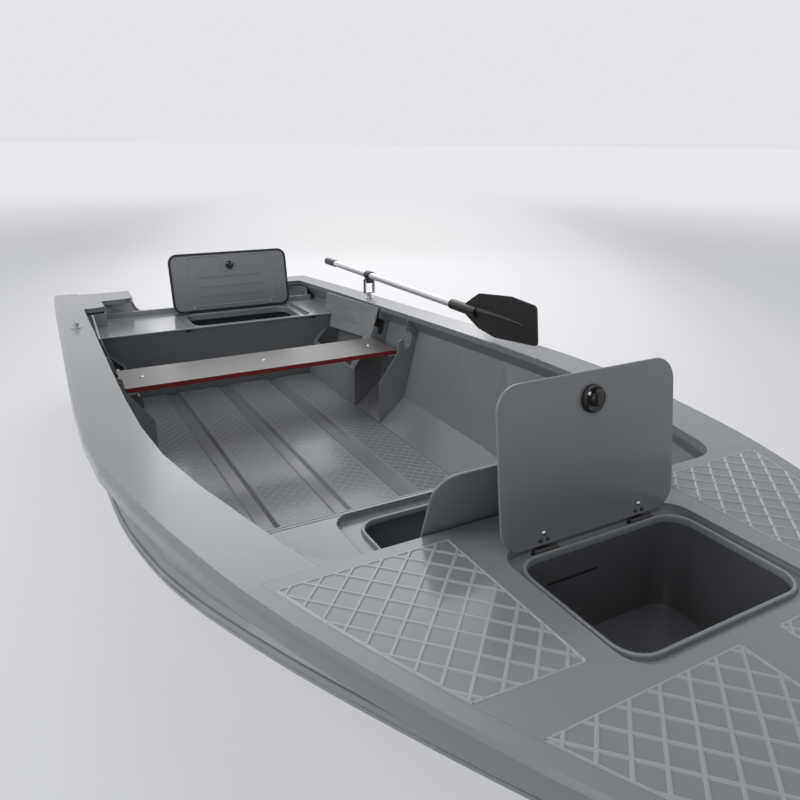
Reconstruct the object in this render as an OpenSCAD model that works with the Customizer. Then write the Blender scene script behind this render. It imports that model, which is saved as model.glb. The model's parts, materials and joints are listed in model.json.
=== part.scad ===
// Rowing and motor boat of thermoformed plastic: outer hull, gunwale, foredeck with a hatch, cockpit
// liner, lidded lockers fore and aft, a lift-out thwart on hooked frames, and one oar in its oarlock.
// Frame: +X forward, +Y port, +Z up. X = 0 is the transom's aft face, Z = 0 the ground under the runners.

/* [Hull] */
// Height of the foredeck's top above the ground
deck_z = 618; // [590:1:660]
// How far the gunwale at the stern lies below the foredeck
sheer_drop = 100; // [60:1:130]
// Wall of the outer hull moulding
hull_t = 6; // [4:0.5:8]
// How far the spray rail stands out of the hull side
rail_out = 14; // [6:1:20]
// Thickness of the transom with its core
transom_t = 45; // [35:1:55]
// Height of the motor cut-out's sill above the ground
motor_z = 411; // [390:1:430]
// Half the width of the motor cut-out at its top
motor_half = 330; // [280:1:380]
// Width of one runner under the bottom
runner_w = 46; // [30:1:70]

/* [Gunwale and foredeck] */
// Wall of the deck moulding
deck_t = 6; // [4:0.5:8]
// Height of the rounded rim at the boat's edge
rim_h = 36; // [24:1:50]
// How far the gunwales' ends reach aft of the transom
ear_l = 60; // [40:1:100]
// Depth of the lip at the cockpit's edge
lip_h = 22; // [16:1:30]
// X of the foredeck's aft edge
foredeck_x = 2935; // [2900:1:2980]
// Width of the rim band round the bow
band_w = 40; // [30:1:60]

/* [Cockpit] */
// Wall of the inner moulding
liner_t = 5; // [3:0.5:6]
// Height of the cockpit floor above the ground
floor_z = 105; // [95:1:120]
// Half the width of the flat floor
floor_half = 468; // [430:1:490]
// Height of the inner chine above the ground
chine_z = 205; // [190:1:225]
// Half the width at the inner chine
chine_half = 584; // [560:1:590]
// Depth of the channels in the floor
channel_d = 9; // [6:1:12]
// Distance from the centreline to the outer channels' middle
channel_y = 253; // [230:1:280]
// Width of the outer channels
channel_w = 68; // [50:1:80]
// Width of the centre channel
centre_w = 66; // [50:1:80]

/* [Stern] */
// Height of the stern deck above the ground
stern_z = 443; // [430:1:455]
// X of the stern bulkhead's foot
bulk_foot_x = 505; // [480:1:540]
// How far the bulkhead's top stands forward of its foot
bulk_rake = 115; // [80:1:118]
// Thickness of the welded sheet plates
sheet_t = 6; // [5:0.5:10]
// X of the sill between the motor well and the stern deck
sill_x = 250; // [220:1:270]
// X of the stern boxes' forward face
box_x = 392; // [360:1:410]

/* [Lids] */
// Thickness of a lid's plate
lid_t = 6; // [5:0.5:8]
// Radius at a lid's corners
lid_r = 45; // [30:1:60]
// Length of the bow lid, along the boat
bow_lid_l = 290; // [270:1:292]
// Width of the bow lid
bow_lid_w = 402; // [380:1:420]
// Length of the seat lid, along the boat
seat_lid_l = 284; // [260:1:288]
// Width of the seat lid
seat_lid_w = 566; // [520:1:580]
// Length of the stern lid, along the boat
stern_lid_l = 294; // [270:1:296]
// Width of the stern lid
stern_lid_w = 609; // [580:1:612]
// How far the bow and stern lids are opened
lid_open = 99; // [92:1:104]
// How far the seat lid is opened
seat_open = 108; // [100:1:109]

/* [Thwart and frames] */
// Length of the thwart, across the boat
thwart_l = 1104; // [1080:1:1110]
// Width of the thwart, along the boat
thwart_w = 232; // [200:1:240]
// Thickness of the thwart
thwart_t = 18; // [15:1:21]
// X of the thwart's aft edge
thwart_x = 1072; // [1040:1:1100]
// Height of the thwart's top above the ground
thwart_z = 423; // [400:1:440]

/* [Oar] */
// Radius of the oar's shaft
shaft_r = 15; // [12:0.5:16]
// X of the oarlocks
lock_x = 843; // [800:1:880]
// Distance of the oarlocks from the centreline
lock_y = 652; // [640:1:660]
// Height of the shaft above the gunwale at the oarlock
oar_rise = 109; // [100:1:115]
// Radius of the oarlock's pin
lock_pin_r = 6; // [5:0.5:8]

/* [Hidden] */
$fn = 48;

seat = 0.3;
nose_x = 3930;
pad_t = 6;
mid_x = (nose_x - ear_l) / 2;
sheer_len = 2900;
sheer_pow = 1.25;
grey = [0.47, 0.50, 0.52];
dark = [0.12, 0.12, 0.13];

// The hull's lines: x, half beam, spray rail's height, chine half beam, chine height, keel height, hull side's inset
LINES = [
    [0, 680, 345, 575, 66, 28, 62],
    [500, 704, 360, 580, 66, 26, 62],
    [1000, 722, 375, 586, 66, 26, 61],
    [1850, 753, 398, 588, 66, 26, 60],
    [2200, 755, 411, 560, 72, 27, 60],
    [2420, 737, 423, 476, 84, 30, 59],
    [2640, 694, 436, 400, 104, 38, 58],
    [2900, 630, 456, 290, 140, 58, 80],
    [3130, 548, 474, 205, 190, 92, 92],
    [3400, 425, 494, 124, 262, 156, 96],
    [3650, 280, 512, 68, 350, 250, 90],
    [3830, 140, 526, 36, 440, 362, 62],
    [3890, 62, 532, 18, 480, 430, 34]
];

// The inner moulding's lines: x, half the floor's width, half the width at the inner chine
LINER = [
    [0, floor_half, chine_half - 12],
    [500, floor_half, chine_half - 2],
    [1000, floor_half, chine_half],
    [1900, floor_half, chine_half],
    [2150, floor_half - 28, chine_half - 24],
    [2350, floor_half - 58, chine_half - 59],
    [2550, 360, 470],
    [2720, 250, 405],
    [2840, 150, 330],
    [3000, 60, 240]
];

// Where the deck's inner edge leaves the cockpit's side at the stern: x, distance from the centreline
STERN_STBD = [[-200, 590], [-21, 566], [-20, 325], [190, 338], [214, 350], [228, 376], [236, 416], [241, 488], [394, 491],
    [408, 503], [416, 534], [420, 580]];
STERN_PORT = [[-200, 590], [-21, 566], [-20, 325], [74, 333], [98, 346], [110, 372], [117, 414], [124, 566]];

// Stations along the boat for the lofted mouldings
AFT_X = [0, 45, 130, 250, 420, 500, 700, 1000, 1300, 1600, 1900, 2150, 2350, 2550, 2720, 2840, foredeck_x];
BOW_X = [3050, 3180, 3300, 3420, 3530, 3630, 3710, 3780, 3840, 3880];

function gz(x) = deck_z - sheer_drop * pow(max(0, 1 - x / sheer_len), sheer_pow);
function span(T, x, i = 0) = i >= len(T) - 2 || x <= T[i + 1][0] ? i : span(T, x, i + 1);
function slope(T, i, c) =
    let (a = max(0, i - 1), b = min(len(T) - 1, i + 1)) (T[b][c] - T[a][c]) / (T[b][0] - T[a][0]);
function line_at(x, c) =
    let (i = span(LINES, x), h = LINES[i + 1][0] - LINES[i][0], t = (x - LINES[i][0]) / h)
    LINES[i][c] * (1 + 2 * t) * pow(1 - t, 2) + LINES[i + 1][c] * t * t * (3 - 2 * t)
    + h * (slope(LINES, i, c) * t * pow(1 - t, 2) - slope(LINES, i + 1, c) * t * t * (1 - t));
function beam(x) = x < 0 ? LINES[0][1] + 0.05 * x : line_at(x, 1);
function inner_edge(x) = beam(x) - (x < 400 ? 118 : 118 + 24 * min(1, (x - 400) / 2400));
function edge_y(x, side) =
    let (T = side > 0 ? STERN_PORT : STERN_STBD) x < T[len(T) - 1][0] ? lookup(x, T) : inner_edge(x);
function wall_top(x) = beam(x) - line_at(x, 6) - 20;
function chine_y(x) = lookup(x, [for (r = LINER) [r[0], r[2]]]);
function floor_y(x) = lookup(x, [for (r = LINER) [r[0], r[1]]]);

// Both sides of a half profile that runs from the port gunwale to the centreline
function both(h) = concat(h, [for (i = [len(h) - 2:-1:0]) [-h[i][0], h[i][1]]]);
function ring(x, p) = [for (q = p) [x, q[0], q[1]]];

function hull_half(x, t) =
    let (y = beam(x) - line_at(x, 6), r = line_at(x, 2), c = line_at(x, 3),
        z = line_at(x, 4), k = line_at(x, 5), out = t > 0 ? 0 : rail_out)
    [[y - t, gz(x) - deck_t - seat], [y - t, r + 26], [y - t + out, r + 14], [y - t + out, r - 6],
        [y - t - 2, r - 20], [c - t, z + 22], [max(c - 24, c * 0.6) - t / 2, z + t], [c * 0.5, k + (z - k) * 0.4 + t],
        [0, k + t]];

function liner_half(x, o) =
    let (q = min(1, (floor_y(x) - 15) / (channel_y + channel_w / 2 + 4)), c = channel_y * q, w = channel_w / 2 * q,
        e = 12 * q, f = floor_z - o, d = f - (x > 2600 ? 3 : channel_d), y0 = inner_edge(x))
    [[y0 + (o > 0 ? o + 1.5 : 0), gz(x) - lip_h - seat], [wall_top(x) + o, gz(x) - 75],
        [chine_y(x) + o, chine_z - o / 2], [floor_y(x) + o / 2, f],
        [c + w, f], [c + w - e, d], [c - w + e, d], [c - w, f],
        [centre_w / 2, f], [centre_w / 2 - 12, d], [0, d]];

// Puts the middle of the boat's length at the origin
module placed() translate([-mid_x, 0, 0]) children();

// A closed solid through rings of equal length
module loft(rings) {
    n = len(rings[0]);
    m = len(rings);
    sides = [for (s = [0:m - 2], i = [0:n - 1])
        let (a = s * n + i, b = s * n + (i + 1) % n) each [[a, b, b + n], [a, b + n, a + n]]];
    polyhedron([for (r = rings) each r],
        concat(sides, [[for (i = [n - 1:-1:0]) i]], [[for (i = [0:n - 1]) (m - 1) * n + i]]));
}

// An open trough: outer and inner skins joined along the rims and at the aft end, and closed at the bow on demand
module trough(outer, inner, closed) {
    n = len(outer[0]);
    m = len(outer);
    k = n * m;
    f = (m - 1) * n;
    skin = [for (s = [0:m - 2], i = [0:n - 2])
        let (a = s * n + i, b = a + 1) each [[a, b, b + n], [a, b + n, a + n],
            [k + a, k + b + n, k + b], [k + a, k + a + n, k + b + n]]];
    rims = [for (s = [0:m - 2]) let (a = s * n, b = a + n - 1)
        each [[a, a + n, k + a + n], [a, k + a + n, k + a], [b, k + b + n, b + n], [b, k + b, k + b + n]]];
    aft = [for (i = [0:n - 2]) each [[i, k + i, k + i + 1], [i, k + i + 1, i + 1]]];
    fore = [for (i = [0:n - 2]) let (a = f + i) each [[a, k + a + 1, k + a], [a, a + 1, k + a + 1]]];
    h = (n - 1) / 2;
    cap = concat([for (i = [0:h - 1]) let (a = f + i, b = f + n - 1 - i) each
        [[a, a + 1, b - 1], [a, b - 1, b], [k + a, k + b - 1, k + a + 1], [k + a, k + b, k + b - 1]]],
        [[f, f + n - 1, k + f + n - 1], [f, k + f + n - 1, k + f]]);
    polyhedron(concat([for (r = outer) each r], [for (r = inner) each r]),
        concat(skin, rims, aft, closed ? cap : fore));
}

// Outline with its corners rounded: each point is [x, y, radius]
function corner(P, i) =
    let (n = len(P), a = P[(i + n - 1) % n], b = P[i], c = P[(i + 1) % n], p = [b[0], b[1]],
        u = ([a[0], a[1]] - p) / norm([a[0], a[1]] - p), v = ([c[0], c[1]] - p) / norm([c[0], c[1]] - p),
        half = acos(u * v) / 2, d = b[2] / tan(half), m = (u + v) / norm(u + v), o = p + m * b[2] / sin(half),
        s = p + u * d - o, e = p + v * d - o, sweep = 180 - 2 * half, turn = s[0] * e[1] - s[1] * e[0] > 0 ? 1 : -1)
    b[2] == 0 ? [p] : [for (k = [0:6]) let (g = turn * sweep * k / 6)
        o + [s[0] * cos(g) - s[1] * sin(g), s[0] * sin(g) + s[1] * cos(g)]];
function rounded(P) = [for (i = [0:len(P) - 1]) each corner(P, i)];
function box_pts(x0, x1, y0, y1, r) = [[x0, y0, r], [x1, y0, r], [x1, y1, r], [x0, y1, r]];
module slab(x0, x1, y0, y1, r, z, t) translate([0, 0, z]) linear_extrude(t) polygon(rounded(box_pts(x0, x1, y0, y1, r)));

module mirror_y() {
    children();
    mirror([0, 1, 0]) children();
}

module hull_shell() placed() color(grey) {
    xs = concat(AFT_X, BOW_X);
    trough([for (x = xs) ring(x, both(hull_half(x, 0)))],
        [for (i = [0:len(xs) - 1]) let (x = xs[i], last = i == len(xs) - 1)
            ring(last ? x - 8 : x, both(hull_half(last ? x - 8 : x, hull_t)))], true);
}

// Flat runners that the boat stands on, shaped on top to the hull's bottom: y, forward end
RUNNERS = [[-410, 2300], [-150, 2640], [150, 2640], [410, 2300]];
module runners() placed() color(grey) difference() {
    for (r = RUNNERS) {
        w = runner_w / 2;
        loft([for (q = [[70, 0], [r[1] - 260, 0], [r[1], 30]])
            [[q[0], r[0] - w, 120], [q[0], r[0] + w, 120], [q[0], r[0] + w - 8, q[1]], [q[0], r[0] - w + 8, q[1]]]]);
    }
    translate([0, 0, -seat]) loft([for (x = concat(AFT_X, BOW_X)) ring(x, both(hull_half(x, 0)))]);
}

function motor_cut() = [[-motor_half, gz(0) + 40, 0], [-motor_half, gz(0) - 20, 30],
    [-motor_half + 37, motor_z, 60], [motor_half - 37, motor_z, 60], [motor_half, gz(0) - 20, 30],
    [motor_half, gz(0) + 40, 0]];

module transom() placed() color(grey) difference() {
    rotate([90, 0, 90]) linear_extrude(transom_t) polygon(
        both([for (q = hull_half(0, hull_t + seat)) [q[0], min(q[1] + seat, gz(0) - deck_t - seat)]]));
    translate([-1, 0, 0]) rotate([90, 0, 90]) linear_extrude(transom_t + 2) polygon(rounded(motor_cut()));
}

module motor_pad() placed() color(dark) translate([-pad_t, 0, 0]) rotate([90, 0, 90]) linear_extrude(pad_t - seat)
    polygon(rounded([[-150, motor_z - 150, 12], [150, motor_z - 150, 12], [150, motor_z - 8, 12],
        [-150, motor_z - 8, 12]]));

// Section of the deck's edge: distance in from the edge and height, for a band that is w wide
function rim(w, lip) = [[w, 0], [12, 0], [3, -4], [0, -14], [0, -rim_h], [5, -rim_h], [5, -16], [13, -deck_t],
    [w - deck_t, -deck_t], [w - deck_t, -lip], [w, -lip]];
function outward(x) = let (s = (beam(min(x + 4, 3889)) - beam(x - 4)) / (min(x + 4, 3889) - x + 4))
    [-s, 1] / norm([-s, 1]);
function rim_ring(x, w, lip) =
    let (f = max(0, min(1, (x - foredeck_x) / 250)), m = [0, 1] * (1 - f) + outward(x) * f, n = m / norm(m))
    [for (p = rim(w, lip)) [x - n[0] * p[0], beam(x) - n[1] * p[0], gz(x) + p[1]]];

// The band round the bow: its middle ring lies on the centreline
nose_ring = [for (p = rim(band_w, deck_t + 0.01)) [nose_x - p[0], 0, deck_z + p[1]]];
function nose_rings() = [for (a = [68, 40]) let (c = [3850, 0], b = beam(3850))
    [for (p = rim(band_w, deck_t + 0.01)) [c[0] + (nose_x - c[0] - p[0]) * cos(a), (b - p[0]) * sin(a), deck_z + p[1]]]];

// The gunwale of one side, drawn to port: side is 1 for port and -1 for starboard
module half_gunwale(side) {
    T = side > 0 ? STERN_PORT : STERN_STBD;
    xs = concat([-ear_l, -21, -20, transom_t, transom_t + 0.4], [for (q = T) if (q[0] > transom_t + 1) q[0]],
        [for (a = AFT_X) if (a > T[len(T) - 1][0] + 5) a]);
    loft(concat([for (x = xs) rim_ring(x, beam(x) - edge_y(x, side), x > -21 && x <= transom_t ? deck_t + 0.01 : lip_h)],
        [rim_ring(foredeck_x + 0.01, band_w, deck_t + 0.01)],
        [for (x = BOW_X) if (x < 3830) rim_ring(x, band_w, deck_t + 0.01)],
        nose_rings(), [nose_ring]));
    b = beam(-ear_l);
    g = gz(-ear_l);
    e = edge_y(-ear_l, side);
    translate([1 - ear_l, 0, 0]) rotate([90, 0, 90]) linear_extrude(deck_t)
        polygon([[e + 3, g - 3], [b - 14, g - 3], [b - 3, g - 15], [b - 3, g - rim_h + 3], [e + 3, g - lip_h + 3]]);
}

module gunwale() placed() color(grey) {
    half_gunwale(1);
    mirror([0, 1, 0]) half_gunwale(-1);
}

// Inside edge of the bow band, which the foredeck plate fills
function band_edge() = concat(
    [for (x = concat([foredeck_x + seat], [for (b = BOW_X) if (b < 3830) b]))
        let (r = rim_ring(x, band_w + seat, deck_t)) [max(r[0][0], foredeck_x + seat), r[0][1]]],
    [for (r = nose_rings()) [r[0][0] - seat, r[0][1] - seat]], [[nose_x - band_w - seat, 0]]);

// A lid's plate starts lid_gap from its hinge line and lies lid_up above it, over a rim in a tray that is drop deep
lid_gap = 6;
lid_up = 7;
rim_dip = 8.2;
rim_w = 6.5;
hinge_dip = 10;
drop = 16;
tray_r = lid_r + 4;
bow_axis = [3055, deck_z - hinge_dip];
bow_hole = [3068, 3328, 187];
bow_tray = [3036, 3356, 205];

module foredeck() placed() color(grey) difference() {
    translate([0, 0, deck_z - deck_t]) linear_extrude(deck_t) {
        e = band_edge();
        f = 66;
        x0 = foredeck_x - f;
        y1 = inner_edge(foredeck_x) - seat;
        y0 = y1 + (inner_edge(2840) - inner_edge(foredeck_x)) * f / (foredeck_x - 2840);
        fillet = [for (k = [0:6]) let (t = k / 6)
            [x0, y0] * pow(1 - t, 2) + [foredeck_x, y1] * 2 * t * (1 - t) + [foredeck_x, y1 - f] * t * t];
        half = concat(e, [for (i = [len(e) - 2:-1:0]) [e[i][0], -e[i][1]]]);
        polygon(concat([[foredeck_x + seat, y1]], half, [[foredeck_x + seat, -y1]],
            [[foredeck_x - 0.01, -y1]], [for (p = fillet) [p[0], -p[1]]], [for (i = [6:-1:0]) fillet[i]],
            [[foredeck_x - 0.01, y1]]));
    }
    slab(bow_tray[0], bow_tray[1], -bow_tray[2], bow_tray[2], tray_r, deck_z - deck_t - 1, deck_t + 2);
}

// The space of a lid's tray, around the raised rim of its hatch
module tray_space(tray, hole, z, cy) difference() {
    slab(tray[0], tray[1], cy - tray[2], cy + tray[2], tray_r, z - drop, 60);
    slab(hole[0] - rim_w, hole[1] + rim_w, cy - hole[2] - rim_w, cy + hole[2] + rim_w, 45 + rim_w, z - drop - 1,
        drop + 1 - rim_dip);
}

// A locker bin: a tray that the lid lies in, and a tub under it
module bin(tray, hole, z, depth, cy) {
    difference() {
        union() {
            slab(tray[0] - 14, tray[1] + 14, cy - tray[2] - 14, cy + tray[2] + 14, tray_r + 14, z - deck_t - seat - 3, 3);
            slab(tray[0] - 2, tray[1] + 2, cy - tray[2] - 2, cy + tray[2] + 2, tray_r + 2, z - drop - 3, drop - deck_t - seat + 1);
            slab(hole[0] - 4, hole[1] + 4, cy - hole[2] - 4, cy + hole[2] + 4, 49, z - depth, depth - drop);
            slab(hole[0] - 6, hole[1] + 6, cy - hole[2] - 6, cy + hole[2] + 6, 51, z - drop - 2, drop - rim_dip + 2);
        }
        tray_space(tray, hole, z, cy);
        slab(hole[0], hole[1], cy - hole[2], cy + hole[2], 45, z - depth + 4, depth);
    }
}

module bow_bin() placed() color(grey) bin(bow_tray, bow_hole, deck_z, 210, 0);

// The open space inside the liner, held back by a clearance
module cockpit_space(c) {
    xs = concat([transom_t + c], [for (a = AFT_X) if (a > transom_t + 10) a]);
    loft([for (x = xs) let (h = liner_half(x, -c)) ring(x, both(concat([h[0] - [c, 0]], [for (i = [1:len(h) - 1]) h[i]])))]);
}

module plate_x(x0, t) translate([x0, -800, 0]) cube([t, 1600, 800]);

module fore_bulkhead() placed() color(grey) intersection() {
    cockpit_space(seat);
    plate_x(foredeck_x - sheet_t, sheet_t - seat);
}

module cockpit_liner() placed() color(grey) {
    xs = concat([transom_t + seat], [for (a = AFT_X) if (a > transom_t + 10) a]);
    trough([for (x = xs) ring(x, both(liner_half(x, liner_t)))],
        [for (x = xs) ring(x, both(liner_half(x, 0)))], false);
}

bulk_top_x = bulk_foot_x + bulk_rake;

module bulkhead_plane(shift, t, top) rotate([90, 0, 0]) translate([shift, 0, -800]) linear_extrude(1600)
    polygon([[bulk_foot_x, floor_z - channel_d], [bulk_top_x, stern_z], [bulk_top_x, top], [bulk_top_x - t, top],
        [bulk_top_x - t, stern_z], [bulk_foot_x - t, floor_z - channel_d]]);

stern_axis = [301, stern_z - hinge_dip];
stern_cy = 141;
stern_hole = [314, 558, 262];
stern_tray = [282, 606, 309];

module stern_bulkhead() placed() color(grey) difference() {
    intersection() {
        cockpit_space(seat);
        bulkhead_plane(0, sheet_t, stern_z);
    }
    translate([400, -800, stern_z - deck_t - seat]) cube([300, 1600, 100]);
    translate([400, stern_cy - stern_tray[2] - 12 - seat, stern_z - drop - 4 - seat])
        cube([300, 2 * stern_tray[2] + 24 + 2 * seat, 100]);
}

module stern_deck() placed() color(grey) difference() {
    intersection() {
        cockpit_space(seat);
        translate([sill_x + seat, -800, stern_z - deck_t]) cube([bulk_top_x + 2 - sill_x, 1600, deck_t]);
    }
    slab(stern_tray[0], stern_tray[1], stern_cy - stern_tray[2], stern_cy + stern_tray[2], tray_r, stern_z - deck_t - 1,
        deck_t + 2);
}

// Frame that the stern lid closes on, sunk into the stern deck
module stern_hatch() placed() color(grey) difference() {
    union() {
        slab(stern_tray[0] - 10, stern_tray[1] + 8, stern_cy - stern_tray[2] - 10, stern_cy + stern_tray[2] + 10, tray_r + 10,
            stern_z - drop - 4, 4 + drop - deck_t - seat);
        slab(stern_hole[0] - 4, stern_hole[1] + 4, stern_cy - stern_hole[2] - 4, stern_cy + stern_hole[2] + 4, 49,
            stern_z - drop - 24, 24);
        slab(stern_hole[0] - 6, stern_hole[1] + 6, stern_cy - stern_hole[2] - 6, stern_cy + stern_hole[2] + 6, 51,
            stern_z - drop - 2, drop - rim_dip + 2);
    }
    tray_space(stern_tray, stern_hole, stern_z, stern_cy);
    slab(stern_hole[0], stern_hole[1], stern_cy - stern_hole[2], stern_cy + stern_hole[2], 45, stern_z - 60, 80);
}

// The motor well: its floor, splayed side walls, the sill forward of it and the knees to the gunwale
module splay(a, b, t) loft([for (q = [a, b])
    [[q[0], q[1], q[2]], [q[0], q[1] + t, q[2]], [q[0], q[3] + t, q[4]], [q[0], q[3], q[4]]]]);

module motor_well() placed() color(grey) {
    x0 = transom_t + seat;
    x1 = sill_x - 8;
    t = liner_t;
    w0 = motor_half - 30;
    w1 = 470;
    wp = 562;
    xp = 118;
    z0 = motor_z - t;
    h0 = gz(x0) - lip_h - 5;
    hp = gz(xp) - lip_h - 5;
    h1 = gz(x1) - lip_h - 5;
    translate([0, 0, z0]) linear_extrude(t)
        polygon([[x0, -w0 - t], [x1 + 2, -w1 - t], [x1 + 2, wp + t], [xp, wp - 28 + t], [x0, w0 + t]]);
    mirror([0, 1, 0]) splay([x0, edge_y(x0, -1) + 7, h0, w0, z0], [x1 + 2, 478, h1, w1, z0], t);
    splay([x0, edge_y(x0, 1) + 7, h0, w0, z0], [xp, wp - 6, hp, wp - 28, z0], t);
    splay([xp - 1, wp - 6, hp, wp - 28, z0], [x1 + 2, wp, h1, wp, z0], t);
    translate([x1, -520, z0]) cube([6, 1100, stern_z + 22 - z0]);
    difference() {
        translate([x1, -520, stern_z + seat]) cube([18, 1100, 23]);
        translate([x1 - 1, -530, stern_z - 1]) cube([13, 1120, 19]);
    }
    mirror([0, 1, 0]) {
        translate([x1 + 3, 491, stern_z + seat]) cube([box_x + 16 - x1, t, gz(x1) - lip_h - stern_z - 2 * seat]);
        translate([box_x + 14, 491, stern_z + seat]) cube([t, 86, gz(x1) - lip_h - stern_z - 2 * seat]);
    }
}

seat_z = deck_z - 140;
seat_axis = [2869, seat_z - hinge_dip];
seat_x = 2559;
seat_hole = [2612, 2856, 258];
seat_tray = [2573, 2892, 308];

module seat_locker() placed() color(grey) difference() {
    intersection() {
        cockpit_space(seat);
        union() {
            translate([seat_x, -800, 0]) cube([sheet_t, 1600, seat_z]);
            translate([seat_x, -800, seat_z - drop - 5]) cube([foredeck_x - sheet_t - seat - seat_x, 1600, drop + 5]);
        }
    }
    tray_space(seat_tray, seat_hole, seat_z, 0);
    slab(seat_hole[0], seat_hole[1], -seat_hole[2], seat_hole[2], 45, seat_z - 60, 80);
}

// Transverse frame that carries the thwart: hook notch above, slanted inboard edge below
function frame_pts(gun) = let (e = thwart_l / 2) [[floor_half - 4, floor_z - 20, 0], [floor_half - 4, thwart_z - 135, 0],
    [e + 1, thwart_z - 8, 0], [e + 6, thwart_z + 40, 14], [e + 30, thwart_z + 52, 10], [e + 34, thwart_z + 4, 8],
    [e + 60, thwart_z + 6, 22], [e + 74, thwart_z + 72, 20], [e + 40, thwart_z + 80, 6], [e + 48, gun, 0], [800, gun, 0],
    [800, floor_z - 20, 0]];

module frame(x, side) color(grey) intersection() {
    cockpit_space(2 * seat);
    translate([x, 0, 0]) rotate([90, 0, 90]) linear_extrude(sheet_t) scale([side, 1])
        polygon(rounded(frame_pts(gz(x) + 40)));
}

fore_frame_x = thwart_x + thwart_w + 5;
aft_frame_x = thwart_x - 5 - sheet_t;
module frame_port_fore() placed() frame(fore_frame_x, 1);
module frame_port_aft() placed() frame(aft_frame_x, 1);
module frame_stbd_fore() placed() frame(fore_frame_x, -1);
module frame_stbd_aft() placed() frame(aft_frame_x, -1);

module thwart_ledges() placed() color(grey) mirror_y()
    translate([aft_frame_x + sheet_t + seat, thwart_l / 2 - 42, thwart_z - thwart_t - seat - 26])
    difference() {
        cube([fore_frame_x - aft_frame_x - sheet_t - 2 * seat, 44, 26]);
        translate([-1, -1, -1]) cube([400, 39, 21]);
    }

// Steep pocket panel along each side, from the stern bulkhead to the aft frame
panel_z = [376, 415];
module side_pockets() placed() color(grey) mirror_y() {
    x0 = bulk_top_x + 3;
    x1 = aft_frame_x - seat;
    t = sheet_t;
    loft([for (q = [[x0 - 78, 558, 546, stern_z + 3], [x0 - 1, 562, 547, stern_z + 3], [x0, 562, 534, panel_z[0]],
            [x1, 588, 546, panel_z[1]]]) let (g = gz(q[0]) - 8)
        [[q[0], q[1], g], [q[0], q[1] + t, g], [q[0], q[2] + t, q[3]], [q[0], q[2], q[3]]]]);
}

// Bin under each pocket panel: its inboard wall and the slanted strips at both ends
module side_bins() placed() color(grey) difference() {
    intersection() {
        cockpit_space(seat);
        mirror_y() {
            x1 = aft_frame_x - seat;
            y = floor_half - 4;
            translate([0, y + 6, 0]) rotate([90, 0, 0]) linear_extrude(6)
                polygon([[bulk_foot_x, 90], [x1, 90], [x1, 275], [bulk_foot_x, 308]]);
            for (q = [[bulk_foot_x, 90, 296, panel_z[0] - 3], [x1 - 50, 50, 275, panel_z[1] - 3]])
                translate([q[0], 0, 0]) rotate([90, 0, 90]) linear_extrude(q[1])
                polygon([[y, q[2] - 12], [y, q[2]], [533, q[3]], [542, q[3]]]);
        }
    }
    bulkhead_plane(seat, 300, stern_z);
}

module thwart() placed() color([0.36, 0.30, 0.27]) difference() {
    slab(thwart_x, thwart_x + thwart_w, -thwart_l / 2, thwart_l / 2, 4, thwart_z - thwart_t, thwart_t);
    for (y = [-1, 0, 1]) translate([thwart_x + thwart_w / 2, y * 474, thwart_z - 3]) cylinder(r = 6, h = 4);
}

module oarlock_sockets() placed() color([0.75, 0.76, 0.78]) for (s = [-1, 1]) translate([lock_x, s * lock_y, gz(lock_x)])
    difference() {
        union() {
            translate([0, 0, 1.3]) cylinder(r = 19, h = 3);
            translate([0, 0, 1.3]) cylinder(r = 12, h = 20);
        }
        cylinder(r = lock_pin_r + 0.05, h = 40);
    }

module bow_eye() placed() color([0.75, 0.76, 0.78]) translate([3880 + seat, 0, 500]) {
    rotate([0, 90, 0]) cylinder(r = 20, h = 4);
    rotate([90, 0, 0]) translate([0, 0, -4]) linear_extrude(8) difference() {
        union() {
            translate([1, -16]) square([20, 32]);
            translate([20, 0]) circle(r = 16);
        }
        translate([20, 0]) circle(r = 9);
    }
}

// Butt hinge across Y: the fixed half has the outer knuckles and the pin, the leaf half the middle one
hinge_r = 5;
pin_r = 2;
module knuckle(y0, l, bore) rotate([-90, 0, 0]) translate([0, 0, y0]) difference() {
    cylinder(r = hinge_r, h = l);
    if (bore) translate([0, 0, -1]) cylinder(r = pin_r + 0.05, h = l + 2);
}
module fixed_half(dir) {
    for (y = [-26, 11]) {
        knuckle(y, 15, false);
        translate([dir > 0 ? -5 : -8.5, y, -5.7]) cube([13.5, 15, 2.2]);
    }
    rotate([-90, 0, 0]) translate([0, 0, -12]) cylinder(r = pin_r, h = 24);
}
module leaf_half(dir) {
    knuckle(-10.5, 21, true);
    translate([dir > 0 ? 0 : -26, -10.5, lid_up + lid_t / 2 + seat]) cube([26, 21, 2.2]);
    translate([dir > 0 ? 0 : -4, -10.5, 3]) cube([4, 21, lid_up + lid_t / 2 + seat - 2]);
}

module deck_hinges() placed() color(dark) {
    for (y = [-112, 112]) translate([bow_axis[0], y, bow_axis[1]]) fixed_half(-1);
    for (y = [-180, 180]) translate([seat_axis[0], y, seat_axis[1]]) fixed_half(1);
    for (y = [-200, 200]) translate([stern_axis[0], stern_cy + y, stern_axis[1]]) fixed_half(-1);
}

// Places a lid drawn closed, its hinge on the Y axis, into its open position
module opened(axis, cy, angle, dir) translate([axis[0], cy, axis[1]]) rotate([0, -dir * angle, 0]) children();

module lid_plate(l, w, dir) slab(dir > 0 ? lid_gap : -lid_gap - l, dir > 0 ? lid_gap + l : -lid_gap, -w / 2, w / 2, lid_r,
    lid_up - lid_t / 2, lid_t);

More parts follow.
